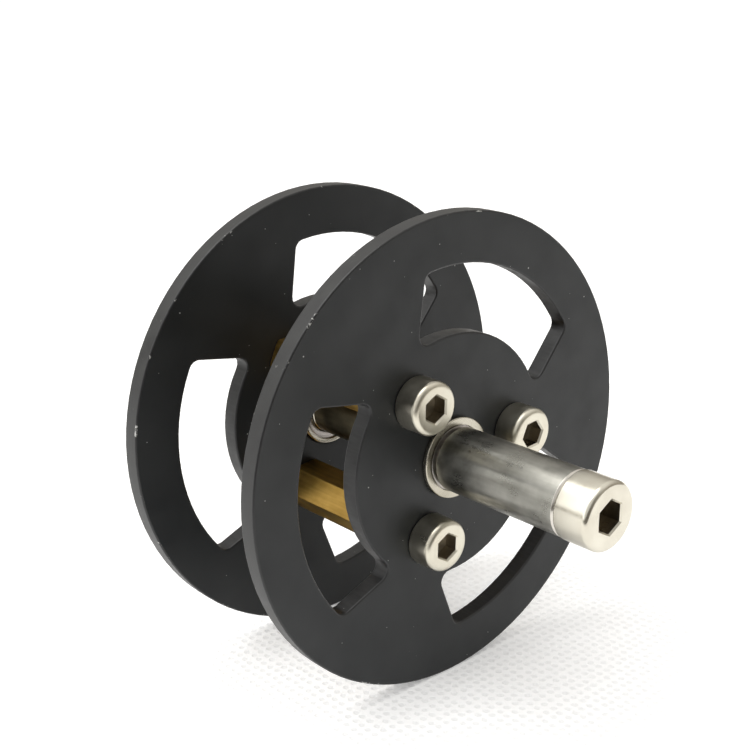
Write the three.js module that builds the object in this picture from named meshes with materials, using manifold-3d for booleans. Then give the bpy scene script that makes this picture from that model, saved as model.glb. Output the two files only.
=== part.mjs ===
// Free-running winch drum for a model sailboat: two windowed flange plates held apart by hexagonal
// standoffs, turning on two small flanged ball bearings round a fixed axle screw.
//
// Millimetres. The spin axis is X, with the axle's head towards +X, and +Z is up. The origin is on the
// spin axis, at the middle of the axle screw's overall length. Angles about the axis run from +Y
// towards +Z.

import * as THREE from "three";
import { mergeVertices } from "three/addons/utils/BufferGeometryUtils.js";
import Module from "manifold-3d";

const wasm = await Module();
wasm.setup();

const rad = THREE.MathUtils.degToRad;

// ---- driving dimensions -------------------------------------------------------------------------

const FIT = 0.02; // gap between pieces clamped together
const RUN = 0.05; // gap between pieces that turn past each other

const PLATE_R = 25;
const PLATE_T = 2;
const PLATE_GAP = 18;
const SPOKES = 3; // as many windows, and one bolt on each spoke
const SPOKE_STEP = 360 / SPOKES;
const FIRST_WINDOW = 66.4; // degrees, centre line of the first window
const WINDOW_OUTER_R = 19.85;
const WINDOW_INNER_R = 12.95;
const WINDOW_SIDE_TILT = 16; // degrees between a side and the window's centre line
const WINDOW_SIDE_OFFSET = 6.3; // distance from the spin axis to the line of a side
const WINDOW_CORNER_R = 1.1;
const WINDOW_STEPS = { outer: 8, inner: 7, corner: 5 }; // straight steps that make up each arc

const BOLT_CIRCLE_R = 8.8;
const FIRST_BOLT = FIRST_WINDOW - SPOKE_STEP / 2; // degrees, the middle of a spoke
const BOLT_CLEAR_R = 1.65;

const M3 = { shankR: 1.5, shankL: 8, headR: 2.75, headH: 3, hexAF: 2.5, hexDepth: 1.6, edge: 0.3 };
const M4 = { shankR: 2, shankL: 45, headR: 3.5, headH: 4, hexAF: 3, hexDepth: 2.4, edge: 0.35 };
const FRONT_SCREW_ROLL = [65, 88, 88]; // degrees, where a corner of each hexagon socket points
const REAR_SCREW_ROLL = [75, 98, 52];
const AXLE_SCREW_ROLL = 90;
const NUT_ROLL = 12;

const STANDOFF_AF = 5;
const STANDOFF_BORE_R = 1.56;

const BORE_R = 2; // the bearing's bore
const BEARING_R = 4;
const BEARING_W = 3;
const FLANGE_R = 4.3;
const FLANGE_T = 0.6;
const FLANGE_EDGE = 0.15;
const RING_EDGE = 0.1;
const INNER_RING_R = 2.6;
const OUTER_RING_R = 3.4; // inside radius of the outer ring
const PITCH_R = 3;
const BALLS = 7;
const BALL_R = 0.5;
const RACE_R = 0.56;
const SHIELD_SEAT_R = 3.5;
const SHIELD_INNER_R = 2.68;
const SHIELD_T = 0.14;
const SHIELD_RECESS = 0.16;
const CAGE = { innerR: 2.76, outerR: 3.24, reach: 0.1, spine: 0.82 };

const SLEEVE_R = 3.4;
const SLEEVE_BORE_R = 2.1;
const SLEEVE_NOSE_R = 2.6; // the nose bears on the inner ring only
const SLEEVE_NOSE_L = 0.4;
const SLEEVE_L = 15.96;
const SLEEVE_EDGE = 0.15;
const SPACER_R = 2.6;
const SHIM_T = 0.3;
const NUT = { af: 7, hexH: 3.4, height: 5, collarR: 3, edge: 0.35, neck: 0.15 };
const NUT_INSERT = { r: 2.55, t: 1.1, lipR: 2.3, lipT: 0.5 }; // the lip holds the insert in

// Straight steps in a full turn of each round piece.
const STEPS = { plate: 96, plateBore: 40, sleeve: 32, axle: 32, ring: 28, tube: 24, screw: 20, hole: 12 };

// ---- places along the axis, worked out from those -------------------------------------------------

const INNER_FACE_X = PLATE_GAP / 2; // measured from the middle of the drum
const OUTER_FACE_X = INNER_FACE_X + PLATE_T;
const FLANGE_FACE_X = OUTER_FACE_X + FIT + FLANGE_T;
const BEARING_MID_X = FLANGE_FACE_X - BEARING_W / 2;
const BEARING_BACK_X = FLANGE_FACE_X - BEARING_W;
const SLEEVE_START_X = FLANGE_FACE_X + FIT;
const HEAD_SEAT_X = SLEEVE_START_X + SLEEVE_L + FIT;
const AXLE_TIP_X = HEAD_SEAT_X - M4.shankL;
const AXLE_MIDDLE_X = (HEAD_SEAT_X + M4.headH + AXLE_TIP_X) / 2;
const SHIM_X = -FLANGE_FACE_X - FIT - SHIM_T;
const NUT_X = SHIM_X - FIT;

// ---- materials ------------------------------------------------------------------------------------

const finish = (color, roughness, metalness) => () =>
  new THREE.MeshStandardMaterial({ color, roughness, metalness });

const blackAnodised = finish(0x262728, 0.55, 0.35);
const brass = finish(0xb98a3a, 0.35, 1);
const nickel = finish(0xd9d4c8, 0.22, 1);
const satinSteel = finish(0xa7a39a, 0.42, 1);
const bearingSteel = finish(0xc9c7c2, 0.25, 1);
const shieldSteel = finish(0xb3aca4, 0.4, 1);
const zincSteel = finish(0xb9bbbd, 0.35, 1);
const nylon = finish(0xdfe2e0, 0.6, 0);

// ---- shape helpers ----------------------------------------------------------------------------------

// Points along an arc, both ends included.
function arc(cx, cy, r, fromDeg, toDeg, steps) {
  return Array.from({ length: steps + 1 }, (_, i) => {
    const a = rad(fromDeg + ((toDeg - fromDeg) * i) / steps);
    return new THREE.Vector2(cx + r * Math.cos(a), cy + r * Math.sin(a));
  });
}

const circle = (r, steps, cx = 0, cy = 0) => arc(cx, cy, r, 0, 360 * (1 - 1 / steps), steps - 1);

const hexagon = (acrossFlats) => circle(acrossFlats / 2 / Math.cos(rad(30)), 6);

function withoutRepeats(points) {
  const closeBy = (a, b) => a.distanceTo(b) < 1e-6;
  return points.filter((p, i) => !closeBy(p, points[(i + 1) % points.length]));
}

// Extrudes a Y-Z outline along +X.
function extrude(outline, holes, length) {
  const shape = new THREE.Shape(outline);
  shape.holes = holes.map((hole) => new THREE.Path(hole));
  const geometry = new THREE.ExtrudeGeometry(shape, { depth: length, bevelEnabled: false });
  const toAxis = new THREE.Matrix4().makeBasis(
    new THREE.Vector3(0, 1, 0),
    new THREE.Vector3(0, 0, 1),
    new THREE.Vector3(1, 0, 0),
  );
  return geometry.applyMatrix4(toAxis);
}

// Turns a profile of [x, radius] corners round the X axis. The corners go round the section so that
// its outside, seen with X to the right and radius up, is passed from left to right.
function turn(profile, segments) {
  const points = profile.map(([x, r]) => new THREE.Vector2(r, x));
  const geometry = new THREE.LatheGeometry(points, segments);
  const toAxis = new THREE.Matrix4().makeBasis(
    new THREE.Vector3(0, 0, 1),
    new THREE.Vector3(1, 0, 0),
    new THREE.Vector3(0, 1, 0),
  );
  return geometry.applyMatrix4(toAxis);
}

// A ring of rectangular section.
const tube = (x0, x1, innerR, outerR, segments) =>
  turn([[x0, innerR], [x0, outerR], [x1, outerR], [x1, innerR], [x0, innerR]], segments);

function toSolid(geometry) {
  const bare = geometry.index ? geometry.toNonIndexed() : geometry.clone();
  bare.deleteAttribute("normal");
  bare.deleteAttribute("uv");
  const merged = mergeVertices(bare, 1e-5);
  const mesh = new wasm.Mesh({
    numProp: 3,
    vertProperties: new Float32Array(merged.attributes.position.array),
    triVerts: new Uint32Array(merged.index.array),
  });
  return new wasm.Manifold(mesh);
}

function toGeometry(solid) {
  const { vertProperties, triVerts } = solid.getMesh();
  const geometry = new THREE.BufferGeometry();
  geometry.setAttribute("position", new THREE.BufferAttribute(vertProperties, 3));
  geometry.setIndex(new THREE.BufferAttribute(triVerts, 1));
  geometry.computeVertexNormals();
  return geometry;
}

function cut(body, ...tools) {
  return toGeometry(tools.reduce((rest, tool) => rest.subtract(toSolid(tool)), toSolid(body)));
}

// ---- pieces -----------------------------------------------------------------------------------------

// One window: two concentric arcs, two straight sides that lean apart outwards, and round corners.
function windowOutline(centreDeg) {
  const inset = WINDOW_SIDE_OFFSET - WINDOW_CORNER_R;
  const along = (r) => Math.sqrt(r * r - inset * inset);
  const sideNormal = 90 + WINDOW_SIDE_TILT;
  const tiltOf = (r) => WINDOW_SIDE_TILT + THREE.MathUtils.radToDeg(Math.atan2(inset, along(r)));
  const outerCentreR = WINDOW_OUTER_R - WINDOW_CORNER_R;
  const innerCentreR = WINDOW_INNER_R + WINDOW_CORNER_R;
  const outerTilt = tiltOf(outerCentreR);
  const innerTilt = tiltOf(innerCentreR);
  const cornerAt = (r, tilt) => [r * Math.cos(rad(tilt)), r * Math.sin(rad(tilt))];
  const [ox, oy] = cornerAt(outerCentreR, outerTilt);
  const [ix, iy] = cornerAt(innerCentreR, innerTilt);
  const upper = [
    ...arc(0, 0, WINDOW_OUTER_R, 0, outerTilt, WINDOW_STEPS.outer),
    ...arc(ox, oy, WINDOW_CORNER_R, outerTilt, sideNormal, WINDOW_STEPS.corner),
    ...arc(ix, iy, WINDOW_CORNER_R, sideNormal, innerTilt + 180, WINDOW_STEPS.corner),
    ...arc(0, 0, WINDOW_INNER_R, innerTilt, 0, WINDOW_STEPS.inner),
  ];
  const lower = upper.map((p) => new THREE.Vector2(p.x, -p.y)).reverse();
  const centre = new THREE.Vector2();
  return withoutRepeats([...upper, ...lower]).map((p) => p.rotateAround(centre, rad(centreDeg)));
}

const onBoltCircle = (i) => {
  const a = rad(FIRST_BOLT + SPOKE_STEP * i);
  return [BOLT_CIRCLE_R * Math.cos(a), BOLT_CIRCLE_R * Math.sin(a)];
};

function flangePlate() {
  const holes = [circle(BEARING_R + RUN, STEPS.plateBore)];
  for (let i = 0; i < SPOKES; i += 1) {
    holes.push(windowOutline(FIRST_WINDOW + SPOKE_STEP * i));
    holes.push(circle(BOLT_CLEAR_R, STEPS.hole, ...onBoltCircle(i)));
  }
  return extrude(circle(PLATE_R, STEPS.plate), holes, PLATE_T);
}

// A socket cap screw, its head from x = 0 to +headH and its shank towards -X. Two chamfers round the
// head's edge.
function capScrew(size, segments) {
  const body = turn(
    [
      [-size.shankL, 0],
      [-size.shankL, size.shankR - size.edge],
      [-size.shankL + size.edge, size.shankR],
      [0, size.shankR],
      [0, size.headR - size.edge / 3],
      [size.edge / 3, size.headR],
      [size.headH - size.edge, size.headR],
      [size.headH - size.edge * 0.3, size.headR - size.edge * 0.3],
      [size.headH, size.headR - size.edge],
      [size.headH, 0],
    ],
    segments,
  );
  const socket = extrude(hexagon(size.hexAF), [], size.hexDepth + 1);
  socket.translate(size.headH - size.hexDepth, 0, 0);
  return cut(body, socket);
}

function standoff() {
  const length = PLATE_GAP - 2 * FIT;
  return extrude(hexagon(STANDOFF_AF), [circle(STANDOFF_BORE_R, STEPS.hole)], length);
}

// The race is an arc of RACE_R about the ball's centre, between the ring's two shoulders.
function race(shoulderR, steps) {
  const sign = Math.sign(shoulderR - PITCH_R);
  const half = Math.acos(Math.abs(shoulderR - PITCH_R) / RACE_R);
  return Array.from({ length: steps + 1 }, (_, i) => {
    const a = -half + (2 * half * i) / steps;
    return [RACE_R * Math.sin(a), PITCH_R + sign * RACE_R * Math.cos(a)];
  });
}

function outerRing() {
  const face = BEARING_W / 2;
  const seat = face - SHIELD_RECESS - SHIELD_T - FIT;
  return turn(
    [
      [-face, SHIELD_SEAT_R],
      [-face, BEARING_R - RING_EDGE],
      [-face + RING_EDGE, BEARING_R],
      [face - FLANGE_T, BEARING_R],
      [face - FLANGE_T, FLANGE_R],
      [face - FLANGE_EDGE, FLANGE_R],
      [face, FLANGE_R - FLANGE_EDGE],
      [face, SHIELD_SEAT_R],
      [seat, SHIELD_SEAT_R],
      [seat, OUTER_RING_R],
      ...race(OUTER_RING_R, 3).reverse(),
      [-seat, OUTER_RING_R],
      [-seat, SHIELD_SEAT_R],
      [-face, SHIELD_SEAT_R],
    ],
    STEPS.ring,
  );
}

function innerRing() {
  const face = BEARING_W / 2;
  const bore = BORE_R + RUN;
  return turn(
    [
      [-face, bore],
      [-face, INNER_RING_R],
      ...race(INNER_RING_R, 3),
      [face, INNER_RING_R],
      [face, bore],
      [-face, bore],
    ],
    STEPS.tube,
  );
}

const shield = () => tube(0, SHIELD_T, SHIELD_INNER_R, SHIELD_SEAT_R - RUN, STEPS.tube);

const ballAngle = (i) => (360 / BALLS) * i;

// A crown cage: a ring with round pockets that open towards -X.
function cage() {
  const ring = tube(-CAGE.reach, CAGE.spine, CAGE.innerR, CAGE.outerR, STEPS.ring);
  const pockets = Array.from({ length: BALLS }, (_, i) => {
    const pocket = new THREE.SphereGeometry(RACE_R, 10, 6);
    const a = rad(ballAngle(i));
    return pocket.translate(0, PITCH_R * Math.cos(a), PITCH_R * Math.sin(a));
  });
  return cut(ring, ...pockets);
}

const ball = () => new THREE.IcosahedronGeometry(BALL_R, 1);

function sleeve() {
  return turn(
    [
      [0, SLEEVE_BORE_R],
      [0, SLEEVE_NOSE_R],
      [SLEEVE_NOSE_L, SLEEVE_NOSE_R],
      [SLEEVE_NOSE_L, SLEEVE_R - SLEEVE_EDGE],
      [SLEEVE_NOSE_L + SLEEVE_EDGE, SLEEVE_R],
      [SLEEVE_L - SLEEVE_EDGE, SLEEVE_R],
      [SLEEVE_L, SLEEVE_R - SLEEVE_EDGE],
      [SLEEVE_L, SLEEVE_BORE_R],
      [0, SLEEVE_BORE_R],
    ],
    STEPS.sleeve,
  );
}

function spacer() {
  const length = 2 * BEARING_BACK_X - 2 * FIT;
  return tube(0, length, BORE_R + RUN, SPACER_R, STEPS.tube);
}

const shim = () => tube(0, SHIM_T, BORE_R + RUN, INNER_RING_R, STEPS.tube);

// A lock nut, its clamping face at x = 0 and its collar towards -X.
function lockNut() {
  const past = 0.1; // the envelope's chamfers start and end this far past the hexagon
  const cornerR = NUT.af / 2 / Math.cos(rad(30)) + past;
  const flatR = NUT.af / 2 - past;
  const envelope = turn(
    [
      [-NUT.height, 0],
      [-NUT.height, NUT.collarR - NUT.edge],
      [-NUT.height + NUT.edge, NUT.collarR],
      [-NUT.hexH - NUT.neck, NUT.collarR],
      [-NUT.hexH, flatR],
      [-NUT.hexH + NUT.edge, cornerR],
      [-NUT.edge, cornerR],
      [0, flatR],
      [0, 0],
    ],
    STEPS.tube,
  );
  const hexBar = extrude(hexagon(NUT.af), [], NUT.height + 2);
  hexBar.translate(-NUT.height - 1, 0, 0);
  const insertStart = -NUT.height + NUT_INSERT.lipT;
  const insertEnd = insertStart + NUT_INSERT.t;
  const bore = turn(
    [
      [-NUT.height - 1, 0],
      [-NUT.height - 1, NUT_INSERT.lipR],
      [insertStart, NUT_INSERT.lipR],
      [insertStart, NUT_INSERT.r],
      [insertEnd, NUT_INSERT.r],
      [insertEnd, BORE_R + RUN],
      [1, BORE_R + RUN],
      [1, 0],
    ],
    STEPS.tube,
  );
  return toGeometry(toSolid(envelope).intersect(toSolid(hexBar)).subtract(toSolid(bore)));
}

const nutInsert = () =>
  tube(FIT, NUT_INSERT.t - FIT, BORE_R + RUN, NUT_INSERT.r - FIT, STEPS.tube);

// ---- assembly -----------------------------------------------------------------------------------------

const winch = new THREE.Group();
const atOrigin = new THREE.Group();
atOrigin.position.x = -AXLE_MIDDLE_X;
winch.add(atOrigin);

// Adds one piece at [x, y, z]. roll turns it about the spin axis and flip turns it end for end.
function add(name, geometry, material, [x, y, z] = [0, 0, 0], { roll = 0, flip = false } = {}) {
  const mesh = new THREE.Mesh(geometry, material());
  mesh.name = name;
  const aboutX = new THREE.Quaternion().setFromAxisAngle(new THREE.Vector3(1, 0, 0), rad(roll));
  const aboutZ = new THREE.Quaternion().setFromAxisAngle(new THREE.Vector3(0, 0, 1), Math.PI);
  mesh.quaternion.copy(flip ? aboutX.multiply(aboutZ) : aboutX);
  mesh.position.set(x, y, z);
  atOrigin.add(mesh);
}

add("front_plate", flangePlate(), blackAnodised, [INNER_FACE_X, 0, 0]);
add("rear_plate", flangePlate(), blackAnodised, [-OUTER_FACE_X, 0, 0]);

for (let i = 0; i < SPOKES; i += 1) {
  const [y, z] = onBoltCircle(i);
  const spoke = FIRST_BOLT + SPOKE_STEP * i;
  const seat = OUTER_FACE_X + FIT;
  add(`standoff_${i + 1}`, standoff(), brass, [-INNER_FACE_X + FIT, y, z], { roll: spoke });
  add(`front_screw_${i + 1}`, capScrew(M3, STEPS.screw), nickel, [seat, y, z], {
    roll: FRONT_SCREW_ROLL[i],
  });
  add(`rear_screw_${i + 1}`, capScrew(M3, STEPS.screw), nickel, [-seat, y, z], {
    roll: REAR_SCREW_ROLL[i],
    flip: true,
  });
}

for (const [end, side] of [["front", 1], ["rear", -1]]) {
  const mid = side * BEARING_MID_X;
  const flip = side < 0;
  const shieldX = BEARING_W / 2 - SHIELD_RECESS - SHIELD_T;
  add(`${end}_bearing_outer_ring`, outerRing(), bearingSteel, [mid, 0, 0], { flip });
  add(`${end}_bearing_inner_ring`, innerRing(), bearingSteel, [mid, 0, 0], { flip });
  add(`${end}_bearing_outside_shield`, shield(), shieldSteel, [mid + side * shieldX, 0, 0], { flip });
  add(`${end}_bearing_inside_shield`, shield(), shieldSteel, [mid - side * shieldX, 0, 0], {
    flip: !flip,
  });
  add(`${end}_bearing_cage`, cage(), brass, [mid, 0, 0], { flip });
  for (let i = 0; i < BALLS; i += 1) {
    const a = rad(ballAngle(i));
    const at = [mid, side * PITCH_R * Math.cos(a), PITCH_R * Math.sin(a)];
    add(`${end}_bearing_ball_${i + 1}`, ball(), bearingSteel, at);
  }
}

add("axle_screw", capScrew(M4, STEPS.axle), nickel, [HEAD_SEAT_X, 0, 0], {
  roll: AXLE_SCREW_ROLL,
});
add("axle_sleeve", sleeve(), satinSteel, [SLEEVE_START_X, 0, 0]);
add("bearing_spacer", spacer(), brass, [-BEARING_BACK_X + FIT, 0, 0]);
add("rear_shim", shim(), satinSteel, [SHIM_X, 0, 0]);
add("lock_nut", lockNut(), zincSteel, [NUT_X, 0, 0], { roll: NUT_ROLL });
add("lock_nut_insert", nutInsert(), nylon, [NUT_X - NUT.height + NUT_INSERT.lipT, 0, 0]);

export default winch;
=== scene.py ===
import math

import bmesh
import bpy
from mathutils import Matrix, Vector


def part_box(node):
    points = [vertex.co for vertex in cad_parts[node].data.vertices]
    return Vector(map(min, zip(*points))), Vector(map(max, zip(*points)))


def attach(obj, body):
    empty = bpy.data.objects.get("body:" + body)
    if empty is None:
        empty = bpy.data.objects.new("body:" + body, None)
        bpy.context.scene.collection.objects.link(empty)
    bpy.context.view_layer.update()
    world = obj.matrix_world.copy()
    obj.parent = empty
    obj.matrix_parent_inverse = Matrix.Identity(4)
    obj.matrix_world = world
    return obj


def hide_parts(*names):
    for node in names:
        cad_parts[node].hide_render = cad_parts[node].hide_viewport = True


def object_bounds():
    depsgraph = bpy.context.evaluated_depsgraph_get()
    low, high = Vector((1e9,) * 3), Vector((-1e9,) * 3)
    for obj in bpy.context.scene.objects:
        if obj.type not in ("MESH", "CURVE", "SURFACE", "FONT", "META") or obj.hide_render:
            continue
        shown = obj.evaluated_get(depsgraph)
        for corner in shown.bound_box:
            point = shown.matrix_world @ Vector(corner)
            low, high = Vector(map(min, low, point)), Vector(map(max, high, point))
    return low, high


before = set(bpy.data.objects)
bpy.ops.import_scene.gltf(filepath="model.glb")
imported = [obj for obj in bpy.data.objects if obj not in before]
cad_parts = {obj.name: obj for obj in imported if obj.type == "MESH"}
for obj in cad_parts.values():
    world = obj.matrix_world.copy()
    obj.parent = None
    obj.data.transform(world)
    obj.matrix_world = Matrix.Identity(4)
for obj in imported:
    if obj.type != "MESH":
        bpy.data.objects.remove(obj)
cad_low, cad_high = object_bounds()

MM = 0.001
RANGE_SOCKETS = ("From Min", "From Max", "To Min", "To Max")


# ---------------------------------------------------------------------------------------------
# Materials: every surface is a small tree of procedural nodes on object coordinates, in metres.
# ---------------------------------------------------------------------------------------------

class Surface:
    """A Principled material and short ways to add nodes to it."""

    def __init__(self, name):
        self.material = bpy.data.materials.new(name)
        self.material.use_nodes = True
        self.tree = self.material.node_tree
        self.bsdf = self.tree.nodes["Principled BSDF"]
        self.place = self.add("ShaderNodeTexCoord").outputs["Object"]
        self.bumps = None

    def add(self, kind, **settings):
        node = self.tree.nodes.new(kind)
        for key, value in settings.items():
            setattr(node, key, value)
        return node

    def put(self, socket, value):
        if isinstance(value, bpy.types.NodeSocket):
            self.tree.links.new(value, socket)
        else:
            socket.default_value = value

    def math(self, operation, a, b=0.0, clamp=False):
        node = self.add("ShaderNodeMath", operation=operation, use_clamp=clamp)
        self.put(node.inputs[0], a)
        self.put(node.inputs[1], b)
        return node.outputs[0]

    def stretched(self, x, y, z):
        node = self.add("ShaderNodeMapping")
        self.put(node.inputs["Vector"], self.place)
        node.inputs["Scale"].default_value = (x, y, z)
        return node.outputs[0]

    def noise(self, scale, detail=3.0, vector=None, roughness=0.5):
        node = self.add("ShaderNodeTexNoise")
        self.put(node.inputs["Vector"], vector or self.place)
        node.inputs["Scale"].default_value = scale
        node.inputs["Detail"].default_value = detail
        node.inputs["Roughness"].default_value = roughness
        return node.outputs["Fac"]

    def spread(self, value, low, high, to_low=0.0, to_high=1.0):
        node = self.add("ShaderNodeMapRange", clamp=True)
        self.put(node.inputs["Value"], value)
        for key, number in zip(RANGE_SOCKETS, (low, high, to_low, to_high)):
            node.inputs[key].default_value = number
        return node.outputs[0]

    def mix(self, share, a, b):
        node = self.add("ShaderNodeMix", data_type="RGBA")
        self.put(node.inputs[0], share)
        self.put(node.inputs[6], a if isinstance(a, bpy.types.NodeSocket) else (*a, 1.0))
        self.put(node.inputs[7], b if isinstance(b, bpy.types.NodeSocket) else (*b, 1.0))
        return node.outputs[2]

    def specks(self, cell_mm, radius_mm, share, flat=False):
        """Round specks of one size, in that share of the cells. Flat ones run through along X."""
        node = self.add("ShaderNodeTexVoronoi")
        self.put(node.inputs["Vector"], self.stretched(0, 1, 1) if flat else self.place)
        node.inputs["Scale"].default_value = 1 / (cell_mm * MM)
        edge = radius_mm / cell_mm
        near = self.spread(node.outputs["Distance"], 0.6 * edge, edge, 1.0, 0.0)
        pick = self.add("ShaderNodeSeparateColor")
        self.put(pick.inputs[0], node.outputs["Color"])
        chosen = self.math("LESS_THAN", pick.outputs[0], share)
        return self.math("MULTIPLY", near, chosen)

    def bump(self, height, strength, depth_mm):
        node = self.add("ShaderNodeBump")
        node.inputs["Strength"].default_value = strength
        node.inputs["Distance"].default_value = depth_mm * MM
        self.put(node.inputs["Height"], height)
        if self.bumps is not None:
            self.put(node.inputs["Normal"], self.bumps)
        self.bumps = node.outputs[0]
        self.put(self.bsdf.inputs["Normal"], self.bumps)

    def finish(self, color, roughness, metallic=0.0, **constants):
        self.put(self.bsdf.inputs["Base Color"], color)
        self.put(self.bsdf.inputs["Roughness"], roughness)
        self.put(self.bsdf.inputs["Metallic"], metallic)
        for key, value in constants.items():
            self.bsdf.inputs[key.replace("_", " ")].default_value = value
        return self.material


BLACK_DARK = (0.007, 0.0085, 0.0095)
BLACK_LIGHT = (0.013, 0.0145, 0.0155)
BARE_ALUMINIUM = (0.62, 0.62, 0.60)
DUST = (0.42, 0.42, 0.41)


def black_sheet():
    """Black anodised sheet with cloudy tone, fine grain and a few specks of dust."""
    s = Surface("plate_face")
    cloud = s.spread(s.noise(110, 4), 0.35, 0.68)
    tone = s.mix(cloud, BLACK_DARK, BLACK_LIGHT)
    dust = s.math("ADD", s.specks(2.4, 0.09, 0.8, True), s.specks(1.1, 0.055, 0.34, True), clamp=True)
    color = s.mix(dust, tone, DUST)
    s.bump(s.noise(5200, 3), 0.25, 0.02)
    s.bump(dust, 0.6, 0.02)
    return s.finish(color, s.spread(s.noise(260, 5), 0.3, 0.7, 0.36, 0.50), Specular_IOR_Level=0.38)


def black_rim():
    """The cut rim: the same black over faint turning marks, a little lighter than the faces; the lighter
    tone is painted light, for the light the rim catches.
    """
    s = Surface("plate_rim")
    along = s.noise(1.0, 5, s.stretched(5200, 160, 160))
    blotch = s.noise(330, 5, roughness=0.65)
    color = s.mix(s.spread(blotch, 0.35, 0.7), (0.012, 0.012, 0.013), (0.028, 0.029, 0.028))
    color = s.mix(s.spread(s.noise(1900, 3), 0.70, 0.76, 0.0, 0.4), color, (0.20, 0.20, 0.19))
    s.bump(along, 0.35, 0.02)
    s.bump(blotch, 0.3, 0.03)
    return s.finish(color, s.spread(blotch, 0.3, 0.7, 0.38, 0.52), Specular_IOR_Level=0.42)


def chipped_edge(name, least_wear):
    """The thin broken edge between a face and a cut wall: black, worn to bare silver in places. The
    wear starts where the noise, which stays near a half, passes least_wear."""
    s = Surface(name)
    patch = s.noise(420, 4, roughness=0.7)
    fine = s.noise(3300, 3)
    wear = s.math("ADD", s.math("MULTIPLY", patch, 0.7), s.math("MULTIPLY", fine, 0.3))
    worn = s.spread(wear, least_wear, least_wear + 0.06)
    color = s.mix(worn, (0.012, 0.012, 0.013), BARE_ALUMINIUM)
    s.bump(fine, 0.5, 0.03)
    return s.finish(color, s.spread(fine, 0.3, 0.7, 0.3, 0.5), s.math("MULTIPLY", worn, 0.9))


def milled_wall():
    """The windows' walls: black over fine cutter marks that cross the sheet, with light specks."""
    s = Surface("window_wall")
    marks = s.noise(1.0, 3, s.stretched(500, 3600, 3600))
    blotch = s.noise(700, 4)
    color = s.mix(s.spread(marks, 0.35, 0.7), (0.005, 0.005, 0.0055), (0.012, 0.0125, 0.0125))
    color = s.mix(s.math("MULTIPLY", s.specks(0.6, 0.06, 0.2), 0.5), color, (0.30, 0.30, 0.28))
    s.bump(marks, 0.3, 0.02)
    return s.finish(color, s.spread(blotch, 0.3, 0.7, 0.34, 0.50), Specular_IOR_Level=0.35)


def worked_metal(
        name, dark, light, rough, grain, bump=0.12, pits=0.0, smear=0.0, marked=0.5, painted_shade_span=None):
    """Metal with fine tool marks. grain is how often they change, per metre, along the spin axis and
    across it; marked is their share in the tone, against that of soft clouds. smear draws reflections
    out along the axis, as lathe marks round it do. The last argument gives the x, in mm, where painted
    shade is deepest and the x where it ends: a cloudy darkening that stands in for shade and the dark
    plate's reflection."""
    s = Surface(name)
    along, across = grain
    marks = s.noise(1.0, 2, s.stretched(along, across, across))
    cloud = s.noise(390, 4, roughness=0.6)
    share = s.math("ADD", s.math("MULTIPLY", marks, marked), s.math("MULTIPLY", cloud, 1 - marked))
    color = s.mix(s.spread(share, 0.37, 0.64), dark, light)
    if pits:
        spots = s.specks(0.8, 0.05, pits)
        color = s.mix(s.math("MULTIPLY", spots, 0.6), color, tuple(0.35 * c for c in dark))
        s.bump(spots, 0.4, -0.02)
    # Painted shade: darker, in clouds, towards the low x, standing in for shade and the dark plate's
    # reflection.
    if painted_shade_span:
        x = s.add("ShaderNodeSeparateXYZ")
        s.put(x.inputs[0], s.place)
        painted_shade_share = s.spread(x.outputs[0], painted_shade_span[0] * MM, painted_shade_span[1] * MM, 1.0, 0.0)
        painted_shade_share = s.math("MULTIPLY", painted_shade_share, s.spread(cloud, 0.38, 0.62, 0.55, 0.10))
        color = s.mix(painted_shade_share, color, tuple(0.2 * c for c in dark))
    s.bump(marks, bump, 0.01)
    if smear:
        around = s.add("ShaderNodeTangent", direction_type="RADIAL", axis="X")
        s.put(s.bsdf.inputs["Tangent"], around.outputs[0])
    return s.finish(
        color, s.spread(share, 0.35, 0.65, *rough), 1.0, Anisotropic=smear, Anisotropic_Rotation=0.25)


def nylon():
    s = Surface("nylon")
    cloud = s.noise(500, 3)
    s.bump(s.noise(2500, 2), 0.2, 0.01)
    color = s.mix(s.spread(cloud, 0.3, 0.7), (0.62, 0.64, 0.62), (0.78, 0.80, 0.78))
    return s.finish(color, s.spread(cloud, 0.3, 0.7, 0.4, 0.55), Subsurface_Weight=0.1)


def cloth():
    """White non-woven cloth with rows of small pressed dimples."""
    s = Surface("cloth")
    cell = s.add("ShaderNodeTexVoronoi", voronoi_dimensions="2D")
    s.put(cell.inputs["Vector"], s.place)
    cell.inputs["Scale"].default_value = 1 / (1.1 * MM)
    cell.inputs["Randomness"].default_value = 0.2
    dimple = s.spread(cell.outputs["Distance"], 0.22, 0.38, 1.0, 0.0)
    fibres = s.noise(900, 5)
    tint = s.mix(s.math("MULTIPLY", dimple, 0.6), (0.90, 0.90, 0.90), (0.70, 0.70, 0.71))
    color = s.mix(s.spread(fibres, 0.35, 0.7, 0.0, 0.12), tint, (0.80, 0.80, 0.80))
    s.bump(dimple, 0.4, -0.12)
    s.bump(fibres, 0.2, 0.03)
    s.put(s.bsdf.inputs["Emission Color"], color)
    return s.finish(color, s.spread(fibres, 0.3, 0.7, 0.85, 0.95), Emission_Strength=0.3)


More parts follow.
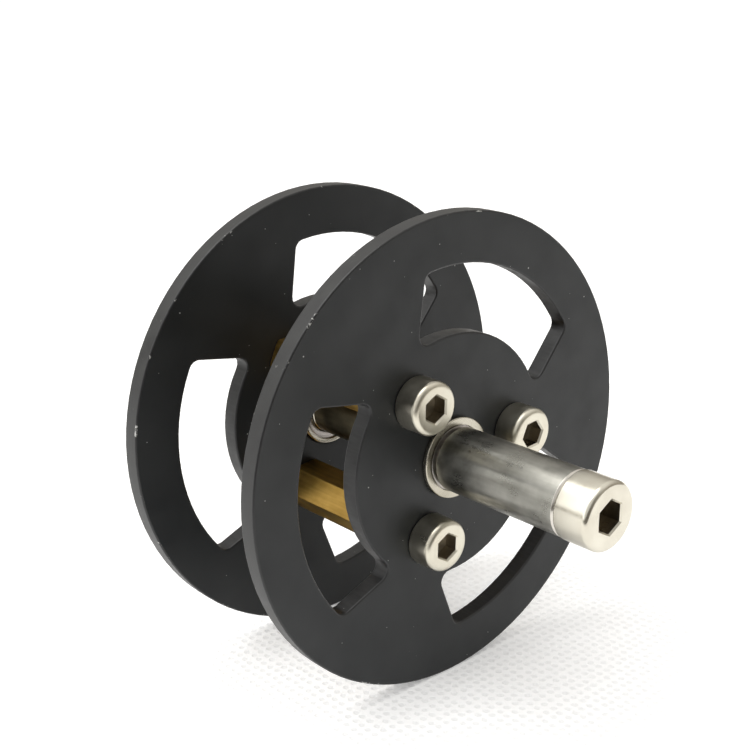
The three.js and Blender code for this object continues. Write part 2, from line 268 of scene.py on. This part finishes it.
plate_face = black_sheet()
plate_rim = black_rim()
rim_edge = chipped_edge("rim_edge", 0.60)
window_edge = chipped_edge("window_edge", 0.66)
window_wall = milled_wall()
RINGS = (2600, 90)  # marks round the spin axis
STREAKS = (150, 2400)  # marks along it
standoff_brass = worked_metal(
    "standoff_brass", (0.38, 0.23, 0.05), (0.58, 0.37, 0.10), (0.30, 0.46), STREAKS, pits=0.25)
spacer_brass = worked_metal(
    "spacer_brass", (0.15, 0.13, 0.085), (0.25, 0.215, 0.14), (0.28, 0.40), STREAKS, bump=0.04, marked=0.3)
cage_brass = worked_metal("cage_brass", (0.46, 0.32, 0.12), (0.66, 0.48, 0.20), (0.25, 0.4), RINGS)
screw_nickel = worked_metal(
    "screw_nickel", (0.62, 0.58, 0.48), (0.70, 0.67, 0.57), (0.27, 0.36), RINGS, bump=0.02, marked=0.2)
axle_nickel = worked_metal(
    "axle_nickel", (0.60, 0.565, 0.48), (0.69, 0.66, 0.57), (0.18, 0.26), RINGS, bump=0.02, smear=0.4,
    marked=0.2)
# Painted shade: the hexagon socket's walls and floor get a much darker nickel than the head.
socket_painted_shade = worked_metal(
    "socket_painted_shade", (0.26, 0.23, 0.18), (0.40, 0.36, 0.29), (0.26, 0.40), RINGS, marked=0.2)
# With painted shade that is deepest at x = 4 mm, towards the plate, and gone by x = 13 mm.
sleeve_steel = worked_metal(
    "sleeve_steel", (0.33, 0.325, 0.29), (0.45, 0.44, 0.40), (0.26, 0.34), STREAKS, bump=0.03, smear=0.6,
    marked=0.3, painted_shade_span=(4.0, 13.0))
# For the sleeve's end chamfer: the lighter colour is a painted highlight, and the roughness is lower too.
chamfer_highlight = worked_metal(
    "chamfer_highlight", (0.52, 0.49, 0.44), (0.64, 0.61, 0.56), (0.16, 0.24), RINGS, bump=0.03)
bearing_steel = worked_metal(
    "bearing_steel", (0.42, 0.39, 0.32), (0.56, 0.53, 0.45), (0.20, 0.30), RINGS)
shield_steel = worked_metal(
    "shield_steel", (0.50, 0.46, 0.43), (0.68, 0.64, 0.60), (0.30, 0.42), RINGS)
ball_steel = worked_metal("ball_steel", (0.66, 0.66, 0.66), (0.80, 0.80, 0.80), (0.06, 0.12), RINGS)
nut_zinc = worked_metal("nut_zinc", (0.48, 0.49, 0.50), (0.68, 0.69, 0.70), (0.22, 0.38), RINGS)
nut_nylon = nylon()


# ---------------------------------------------------------------------------------------------
# Shapes
# ---------------------------------------------------------------------------------------------

def link_piece(name, mesh, body, materials, replaces=None, corners=0.0):
    """Puts a finished mesh, whose points are in the row frame, in the scene as a piece on a CAD body.
    corners is the width, in mm, by which its sharp corners are rounded."""
    piece = bpy.data.objects.new(name, mesh)
    bpy.context.scene.collection.objects.link(piece)
    for material in materials:
        mesh.materials.append(material)
    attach(piece, body)
    if replaces:
        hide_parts(replaces)
    if corners:
        bevel = piece.modifiers.new("corners", "BEVEL")
        bevel.width = corners * MM
        bevel.segments = 2
        bevel.angle_limit = math.radians(35)
    weighted = piece.modifiers.new("normals", "WEIGHTED_NORMAL")
    weighted.keep_sharp = True
    return piece


def soft_shading(mesh, sharp_above):
    mesh.shade_smooth()
    mesh.set_sharp_from_angle(angle=math.radians(sharp_above))


def lathe(rows, at, roll=0.0, side=1, steps=96, closed=False):
    """A mesh from loops of points about the X axis through at. Each row is (x, radius), in mm, and the
    radius is a number or a function of (the angle in degrees from roll, x). side -1 builds towards -X."""
    shape = bmesh.new()
    loops = []
    for x, radius in rows:
        loop = []
        for i in range(steps):
            turn = 360 * i / steps
            r = radius(turn, x) if callable(radius) else radius
            a = math.radians(roll + turn)
            point = Vector((side * x, r * math.cos(a), r * math.sin(a))) * MM + at
            loop.append(shape.verts.new(point))
        loops.append(loop)
    pairs = list(zip(loops, loops[1:] + loops[:1])) if closed else list(zip(loops, loops[1:]))
    for one, two in pairs:
        for i in range(steps):
            j = (i + 1) % steps
            shape.faces.new((one[i], one[j], two[j], two[i]))
    bmesh.ops.remove_doubles(shape, verts=shape.verts, dist=1e-7)
    bmesh.ops.recalc_face_normals(shape, faces=shape.faces)
    mesh = bpy.data.meshes.new("lathe")
    shape.to_mesh(mesh)
    shape.free()
    soft_shading(mesh, 35)
    return mesh


def quarter(x, r, size, start, end, steps=5):
    """Points of an arc of radius size about (x, r), from start to end degrees, 0 pointing along +X."""
    angles = [math.radians(start + (end - start) * i / steps) for i in range(steps + 1)]
    return [(x + size * math.cos(a), r + size * math.sin(a)) for a in angles]


def hexagon(across_flats, grow=0.0):
    """A radius function with a corner at 0 degrees."""
    def radius(turn, x):
        off = turn % 60 - 30
        return across_flats / 2 / math.cos(math.radians(off)) + grow
    return radius


def thread(outer, depth, pitch):
    """A radius function for a V thread."""
    def radius(turn, x):
        phase = (x / pitch + turn / 360) % 1
        return outer - depth * abs(2 * phase - 1)
    return radius


def centre(node):
    low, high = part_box(node)
    return (low + high) / 2


def cap_screw(node, body, size, roll, metal):
    """A socket cap screw in place of the CAD one: rounded head, crisp hexagon socket, threaded tip."""
    low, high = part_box(node)
    side = 1 if node.startswith(("front", "axle")) else -1
    middle = (low + high) / 2
    head_end = high.x if side > 0 else low.x
    at = Vector((head_end - side * size["head_l"] * MM, middle.y, middle.z))
    head_l, head_r, shank_r, shank_l = size["head_l"], size["head_r"], size["shank_r"], size["shank_l"]
    ridge = thread(shank_r, 0.6 * size["pitch"], size["pitch"])
    tip = 0.5 * size["pitch"]
    under, mouth_edge = 0.20, 0.17  # the head's lower round, and the bevel round the socket's mouth
    rows = [(-shank_l, 0.0), (-shank_l, shank_r - tip)]
    turns = round(4 * (size["threaded"] - tip) / size["pitch"])
    rows += [(-shank_l + tip + i * size["pitch"] / 4, ridge) for i in range(turns)]
    rows += [(-shank_l + size["threaded"] + 0.1, shank_r), (-0.01, shank_r), (0.0, shank_r + 0.1)]
    rows += quarter(under, head_r - under, under, 180, 90, 4)
    rows += quarter(head_l - size["round"], head_r - size["round"], size["round"], 90, 0, 7)
    mouth = size["socket"] / 2 / math.cos(math.radians(30))
    rows += [(head_l, mouth + 0.28), (head_l, hexagon(size["socket"], mouth_edge))]
    floor_x = head_l - size["deep"]
    rows += [(head_l - mouth_edge, hexagon(size["socket"])), (floor_x, hexagon(size["socket"]))]
    rows += [(floor_x, size["socket"] / 2 - 0.05), (floor_x - 0.35, 0.0)]  # ends in a drill point
    mesh = lathe(rows, at, roll, side, 72)
    # Faces inside the socket take the second material, whose darker colour is painted shade.
    for face in mesh.polygons:
        depth = side * (head_end - face.center.x) / MM
        radius = math.hypot(face.center.y - middle.y, face.center.z - middle.z) / MM
        face.material_index = int(0.10 < depth < size["deep"] + 0.4 and radius < mouth)
    link_piece(node + "_shown", mesh, body, [metal, socket_painted_shade], node)


M3 = {"head_l": 3.0, "head_r": 2.75, "shank_r": 1.5, "shank_l": 8.0, "socket": 2.5, "deep": 1.6,
      "round": 0.60, "pitch": 0.5, "threaded": 6.0}
M4 = {"head_l": 4.0, "head_r": 3.5, "shank_r": 2.0, "shank_l": 45.0, "socket": 3.0, "deep": 2.4,
      "round": 0.55, "pitch": 0.7, "threaded": 10.5}
FRONT_ROLL = (65, 88, 88)
REAR_ROLL = (75, 98, 52)
for i in range(3):
    cap_screw(f"front_screw_{i + 1}", "drum", M3, FRONT_ROLL[i], screw_nickel)
    cap_screw(f"rear_screw_{i + 1}", "drum", M3, REAR_ROLL[i], screw_nickel)
cap_screw("axle_screw", "axle", M4, 90, axle_nickel)


def plate_outlines(node):
    """The closed outlines, as lists of (y, z), of the node's flat face at its high x."""
    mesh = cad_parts[node].data
    shape = bmesh.new()
    shape.from_mesh(mesh)
    bmesh.ops.remove_doubles(shape, verts=shape.verts, dist=1e-7)
    top = max(v.co.x for v in shape.verts)
    caps = [f for f in shape.faces if all(abs(v.co.x - top) < 1e-6 for v in f.verts)]
    in_cap = set(caps)  # only looked up, since a set's own order changes from run to run
    after = {}
    for face in caps:
        for loop in face.loops:
            if sum(f in in_cap for f in loop.edge.link_faces) == 1:
                after[loop.vert] = loop.link_loop_next.vert
    outlines = []
    while after:
        first = next(iter(after))
        outline = [first]
        step = after.pop(first)
        while step is not first:
            outline.append(step)
            step = after.pop(step)
        outlines.append([(v.co.y, v.co.z) for v in outline])
    shape.free()
    return outlines


def plate(node):
    """A flange plate with the CAD outline and thin broken edges: faces, rim, walls and edges have
    materials of their own."""
    low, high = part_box(node)
    edge = 0.18 * MM
    curve = bpy.data.curves.new(node, "CURVE")
    curve.dimensions = "2D"
    curve.fill_mode = "BOTH"
    curve.extrude = (high.x - low.x) / 2 - edge
    curve.bevel_depth = edge
    curve.bevel_resolution = 2
    curve.offset = -edge
    for outline in plate_outlines(node):
        spline = curve.splines.new("POLY")
        spline.points.add(len(outline) - 1)
        for point, (y, z) in zip(spline.points, outline):
            point.co = (y, z, 0, 1)
        spline.use_cyclic_u = True
    maker = bpy.data.objects.new(node, curve)
    bpy.context.scene.collection.objects.link(maker)
    bpy.context.view_layer.update()
    mesh = bpy.data.meshes.new_from_object(maker.evaluated_get(bpy.context.evaluated_depsgraph_get()))
    bpy.data.objects.remove(maker)
    upright = Matrix(((0, 0, 1, 0), (1, 0, 0, 0), (0, 1, 0, 0), (0, 0, 0, 1)))
    mesh.transform(Matrix.Translation(((low.x + high.x) / 2, 0, 0)) @ upright)
    shape = bmesh.new()
    shape.from_mesh(mesh)
    bmesh.ops.remove_doubles(shape, verts=shape.verts, dist=2e-7)
    shape.to_mesh(mesh)
    shape.free()
    mesh.shade_smooth()
    mesh.materials.clear()
    rim_r = (high.z - low.z) / 2
    for face in mesh.polygons:
        radius = math.hypot(face.center.y, face.center.z)
        if abs(face.normal.x) > 0.98:
            face.material_index = 0
            face.use_smooth = False
        else:
            outside = radius > rim_r - 0.5 * MM
            bevelled = abs(face.normal.x) > 0.1
            face.material_index = (1 if outside else 3) + int(bevelled)
    materials = [plate_face, plate_rim, rim_edge, window_wall, window_edge]
    link_piece(node + "_shown", mesh, "drum", materials, node)


plate("front_plate")
plate("rear_plate")


def turned_down(across_flats, length, end_r, slope):
    """A radius function for a hexagonal bar whose corners are turned down in a cone at both ends."""
    flat = hexagon(across_flats)
    return lambda turn, x: min(flat(turn, x), end_r + slope * min(x, length - x))


def standoff(node, spoke):
    low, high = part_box(node)
    length = (high.x - low.x) / MM
    at = Vector((low.x, centre(node).y, centre(node).z))
    bore_r = 1.56
    topped = turned_down(5.0, length, 2.72, 1.2)
    rows = [(0.0, bore_r), (0.0, topped), (0.08, topped), (0.16, topped), (0.3, topped)]
    rows += [(length - x, r) for x, r in reversed(rows[1:])]
    rows += [(length, bore_r)]
    mesh = lathe(rows, at, spoke, 1, 72, closed=True)
    link_piece(node + "_shown", mesh, "drum", [standoff_brass], node, corners=0.07)


for i in range(3):
    middle = centre(f"standoff_{i + 1}")
    standoff(f"standoff_{i + 1}", math.degrees(math.atan2(middle.z, middle.y)))


BORE_R = 2.05  # what slides over the axle's shank
RING_R = 2.6  # the inner rings, and what bears on them
RACE = [(0.39, 0.0), (0.2, 0.12), (0.0, 0.16), (-0.2, 0.12), (-0.39, 0.0)]  # (x, depth) in a ring
HALF_WIDTH = 1.5  # of a bearing

# A pressed shield's section, (x, radius): rolled inner lip, flat, and thin rim in the ring's seat.
SHIELD = [(0.06, 2.68), (0.11, 2.70), (0.14, 2.76), (0.14, 3.28), (0.11, 3.34), (0.05, 3.36),
          (0.04, 3.46), (0.0, 3.46), (0.0, 2.74), (0.03, 2.69)]


def outer_ring(flange_r):
    """The section of an outer ring, with its flange towards +X and a seat for a shield at each end."""
    face, barrel_r, barrel_round = HALF_WIDTH, 4.0, 0.24
    flange, flange_round, back_round = 0.6, 0.12, 0.06
    seat_r, seat_depth, seat_edge, land_r = 3.48, 0.33, 0.04, 3.4
    rows = [(-face, seat_r + seat_edge)]
    rows += quarter(-face + barrel_round, barrel_r - barrel_round, barrel_round, 180, 90, 4)
    rows += [(face - flange, barrel_r)]
    rows += quarter(face - flange + back_round, flange_r - back_round, back_round, 180, 90, 2)
    rows += quarter(face - flange_round, flange_r - flange_round, flange_round, 90, 0, 5)
    rows += [(face, seat_r + seat_edge), (face - seat_edge, seat_r)]
    rows += [(face - seat_depth, seat_r), (face - seat_depth, land_r)]
    rows += [(x, land_r + depth) for x, depth in RACE]
    rows += [(-face + seat_depth, land_r), (-face + seat_depth, seat_r), (-face + seat_edge, seat_r)]
    return rows


def inner_ring():
    face, edge = HALF_WIDTH, 0.1
    rows = [(-face, BORE_R + edge), (-face, RING_R - edge), (-face + edge, RING_R)]
    rows += [(x, RING_R - depth) for x, depth in reversed(RACE)]
    rows += [(face - edge, RING_R), (face, RING_R - edge), (face, BORE_R + edge)]
    rows += [(face - edge, BORE_R), (-face + edge, BORE_R)]
    return rows


def ball(node, body):
    shape = bmesh.new()
    bmesh.ops.create_icosphere(shape, subdivisions=3, radius=0.5 * MM)
    bmesh.ops.translate(shape, verts=shape.verts, vec=centre(node))
    mesh = bpy.data.meshes.new(node)
    shape.to_mesh(mesh)
    shape.free()
    mesh.shade_smooth()
    link_piece(node + "_shown", mesh, body, [ball_steel], node)


def bearing(end, side):
    """The pieces of one flanged bearing, whose flange is on that side."""
    ring = f"{end}_bearing_outer_ring"
    low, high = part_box(ring)
    at = Vector(((low.x + high.x) / 2, 0, 0))
    mesh = lathe(outer_ring((high.z - low.z) / MM / 2), at, 0, side, 96, closed=True)
    link_piece(ring + "_shown", mesh, "drum", [bearing_steel], ring)
    ring = f"{end}_bearing_inner_ring"
    mesh = lathe(inner_ring(), at, 0, side, 72, closed=True)
    link_piece(ring + "_shown", mesh, "axle", [bearing_steel], ring)
    for which, way in (("outside", side), ("inside", -side)):
        node = f"{end}_bearing_{which}_shield"
        low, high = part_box(node)
        start = Vector((low.x if way > 0 else high.x, 0, 0))
        mesh = lathe(SHIELD, start, 0, way, 96, closed=True)
        link_piece(node + "_shown", mesh, "drum", [shield_steel], node)
    for i in range(7):
        ball(f"{end}_bearing_ball_{i + 1}", f"{end}_cage")
    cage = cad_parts[f"{end}_bearing_cage"]
    cage.data.materials.clear()
    cage.data.materials.append(cage_brass)


bearing("front", 1)
bearing("rear", -1)


def start_of(node):
    return Vector((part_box(node)[0].x, 0, 0))


def length_of(node):
    low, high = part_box(node)
    return (high.x - low.x) / MM


def sleeve():
    """A tube with a narrow nose on the bearing's inner ring and a chamfer at the screw's head, painted
    lighter as a highlight.
    """
    node = "axle_sleeve"
    length = length_of(node)
    bore_r, outer_r = 2.1, 3.4
    nose_l, nose_edge = 0.4, 0.05
    shoulder, chamfer = 0.12, 0.30
    rows = [(0.0, bore_r), (0.0, RING_R - nose_edge), (nose_edge, RING_R), (nose_l, RING_R)]
    rows += [(nose_l, outer_r - 0.14)]
    rows += quarter(nose_l + shoulder, outer_r - shoulder, shoulder, 180, 90, 4)[1:]
    rows += [(length - chamfer, outer_r), (length - chamfer + 0.03, outer_r - 0.01)]
    rows += [(length - 0.03, outer_r - 0.25), (length, outer_r - 0.28), (length, bore_r)]
    mesh = lathe(rows, start_of(node), 0, 1, 128, closed=True)
    # The chamfer's faces take the lighter material, a painted highlight.
    chamfer_x = start_of(node).x + (length - chamfer + 0.01) * MM
    for face in mesh.polygons:
        face.material_index = int(face.center.x > chamfer_x)
    link_piece(node + "_shown", mesh, "axle", [sleeve_steel, chamfer_highlight], node)


def spacer():
    node = "bearing_spacer"
    length = length_of(node)
    edge = 0.1
    mid_r = RING_R - edge
    rows = [(0.0, BORE_R)] + quarter(edge, mid_r, edge, 180, 90, 3)
    rows += quarter(length - edge, mid_r, edge, 90, 0, 3) + [(length, BORE_R)]
    mesh = lathe(rows, start_of(node), 0, 1, 96, closed=True)
    link_piece(node + "_shown", mesh, "axle", [spacer_brass], node)


def washer(node, outer_r, edge, metal):
    """A flat ring over the axle, as long as its CAD node, with small chamfers outside."""
    length = length_of(node)
    rows = [(0.0, BORE_R), (0.0, outer_r - edge), (edge, outer_r)]
    rows += [(length - edge, outer_r), (length, outer_r - edge), (length, BORE_R)]
    mesh = lathe(rows, start_of(node), 0, 1, 72, closed=True)
    link_piece(node + "_shown", mesh, "axle", [metal], node)


def lock_nut():
    """Built from its clamping face towards -X: hexagon with turned-down corners, then the collar that
    holds the nylon ring."""
    node = "lock_nut"
    roll, hex_l, length = 12, 3.4, 5.0
    bore_edge = 0.25
    collar_r, collar_round = 3.0, 0.35
    lip_r, pocket_r, pocket_end = 2.3, 2.55, 4.5
    cornered = turned_down(7.0, hex_l, 3.52, 1.6)
    rows = [(0.0, BORE_R + bore_edge), (0.0, cornered)]
    rows += [(x, cornered) for x in (0.06, 0.12, 0.18, 0.24, 0.32, 3.08, 3.16, 3.22, 3.28, 3.34, hex_l)]
    rows += [(hex_l + 0.06, collar_r + 0.08), (hex_l + 0.16, collar_r), (length - collar_round, collar_r)]
    rows += quarter(length - collar_round, collar_r - collar_round, collar_round, 90, 0, 5)[1:]
    rows += [(length, lip_r + 0.1), (length - 0.1, lip_r), (pocket_end, lip_r), (pocket_end, pocket_r)]
    rows += [(hex_l, pocket_r), (hex_l, BORE_R), (bore_edge, BORE_R)]
    mesh = lathe(rows, Vector((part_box(node)[1].x, 0, 0)), roll, -1, 96, closed=True)
    link_piece(node + "_shown", mesh, "axle", [nut_zinc], node)


sleeve()
spacer()
# The shim takes the sleeve's material, its painted shade included.
washer("rear_shim", RING_R, 0.05, sleeve_steel)
lock_nut()
washer("lock_nut_insert", 2.53, 0.03, nut_nylon)


# ---------------------------------------------------------------------------------------------
# Floor, light and camera
# ---------------------------------------------------------------------------------------------

CAMERA_AZIMUTH = math.radians(47.74)

# In metres:
CLOTH_REACH = 40
CLOTH_FRONT = 0.10
DOME_R = 1.0


def floor():
    """A cloth that reaches far back but ends a little way in front of the part."""
    z = cad_low.z - 0.02 * MM
    mesh = bpy.data.meshes.new("floor")
    far, near = CLOTH_REACH, -CLOTH_FRONT
    mesh.from_pydata([(-far, near, z), (far, near, z), (far, far, z), (-far, far, z)], [], [(0, 1, 2, 3)])
    mesh.transform(Matrix.Rotation(CAMERA_AZIMUTH, 4, "Z"))
    mesh.materials.append(cloth())
    plane = bpy.data.objects.new("floor", mesh)
    bpy.context.scene.collection.objects.link(plane)


def backdrop():
    """A pale dome round the stage that only the camera sees: a plain background from every side."""
    s = Surface("backdrop")
    color = s.mix(s.noise(0.5, 2), (1.0, 1.0, 1.0), (1.06, 1.06, 1.06))
    s.put(s.bsdf.inputs["Emission Color"], color)
    s.finish((0.0, 0.0, 0.0, 1.0), s.spread(s.noise(0.5, 2), 0.3, 0.7, 0.9, 1.0), Emission_Strength=1.0)
    shape = bmesh.new()
    bmesh.ops.create_icosphere(shape, subdivisions=4, radius=DOME_R)
    mesh = bpy.data.meshes.new("backdrop")
    shape.to_mesh(mesh)
    shape.free()
    mesh.materials.append(s.material)
    dome = bpy.data.objects.new("backdrop", mesh)
    bpy.context.scene.collection.objects.link(dome)
    for ray in ("diffuse", "glossy", "transmission", "volume_scatter", "shadow"):
        setattr(dome, "visible_" + ray, False)


def area_light(name, at, towards, size, power, color):
    lamp = bpy.data.lights.new(name, "AREA")
    lamp.shape = "DISK"
    lamp.size = size
    lamp.energy = power
    lamp.color = color
    holder = bpy.data.objects.new(name, lamp)
    holder.location = at
    holder.rotation_mode = "QUATERNION"
    holder.rotation_quaternion = (Vector(towards) - Vector(at)).to_track_quat("-Z", "Y")
    bpy.context.scene.collection.objects.link(holder)


def surroundings():
    """A room whose walls grow lighter upwards, with a wide bright window above on the -Y side, and
    dimmest on the side the camera stands on."""
    world = bpy.data.worlds.new("room")
    world.use_nodes = True
    tree = world.node_tree
    sky = tree.nodes["Background"]
    where = tree.nodes.new("ShaderNodeTexCoord").outputs["Generated"]

    def share_of(direction, low, high, to_low, to_high):
        aim = tree.nodes.new("ShaderNodeVectorMath")
        aim.operation = "DOT_PRODUCT"
        tree.links.new(where, aim.inputs[0])
        aim.inputs[1].default_value = direction
        ramp = tree.nodes.new("ShaderNodeMapRange")
        ramp.interpolation_type = "SMOOTHSTEP"
        for key, number in zip(RANGE_SOCKETS, (low, high, to_low, to_high)):
            ramp.inputs[key].default_value = number
        tree.links.new(aim.outputs["Value"], ramp.inputs["Value"])
        return ramp.outputs[0]

    def blend(share, below, above):
        tint = tree.nodes.new("ShaderNodeMix")
        tint.data_type = "RGBA"
        tree.links.new(share, tint.inputs[0])
        for socket, value in ((tint.inputs[6], below), (tint.inputs[7], above)):
            if isinstance(value, bpy.types.NodeSocket):
                tree.links.new(value, socket)
            else:
                socket.default_value = (*value, 1)
        return tint.outputs[2]

    walls = blend(share_of((0, 0, 1), 0.15, 0.85, 0.0, 1.0), (0.44, 0.41, 0.36), (1.05, 1.03, 0.99))
    window = share_of((0, -0.7, 0.71), 0.57, 0.70, 0.0, 1.0)
    tree.links.new(blend(window, walls, (2.3, 2.29, 2.26)), sky.inputs["Color"])
    tree.links.new(share_of((0.72, -0.62, 0.30), 0.3, 0.9, 1.0, 0.35), sky.inputs["Strength"])
    bpy.context.scene.world = world


def camera():
    """azimuth 0 looks along +Y and 90 along -X."""
    azimuth, elevation, roll = CAMERA_AZIMUTH, math.radians(21.43), math.radians(-0.23)
    target = Vector((-1.09, -1.41, -0.36)) * MM
    distance = 132.73 * MM
    back = Vector((
        math.sin(azimuth) * math.cos(elevation),
        -math.cos(azimuth) * math.cos(elevation),
        math.sin(elevation),
    ))
    data = bpy.data.cameras.new("camera")
    data.lens = 61.07
    data.sensor_width = 36
    data.shift_x = -0.0467
    data.shift_y = 0.1
    data.clip_start = 0.005
    data.clip_end = 10
    holder = bpy.data.objects.new("camera", data)
    holder.location = target + back * distance
    facing = (-back).to_track_quat("-Z", "Y").to_matrix() @ Matrix.Rotation(roll, 3, "Z")
    holder.rotation_euler = facing.to_euler()
    bpy.context.scene.collection.objects.link(holder)
    bpy.context.scene.camera = holder


floor()
backdrop()
area_light("top", (-0.12, -0.16, 0.50), (0, 0, 0), 0.45, 1.0, (1.0, 0.99, 0.97))
surroundings()
camera()
bpy.context.scene.view_settings.view_transform = "Standard"
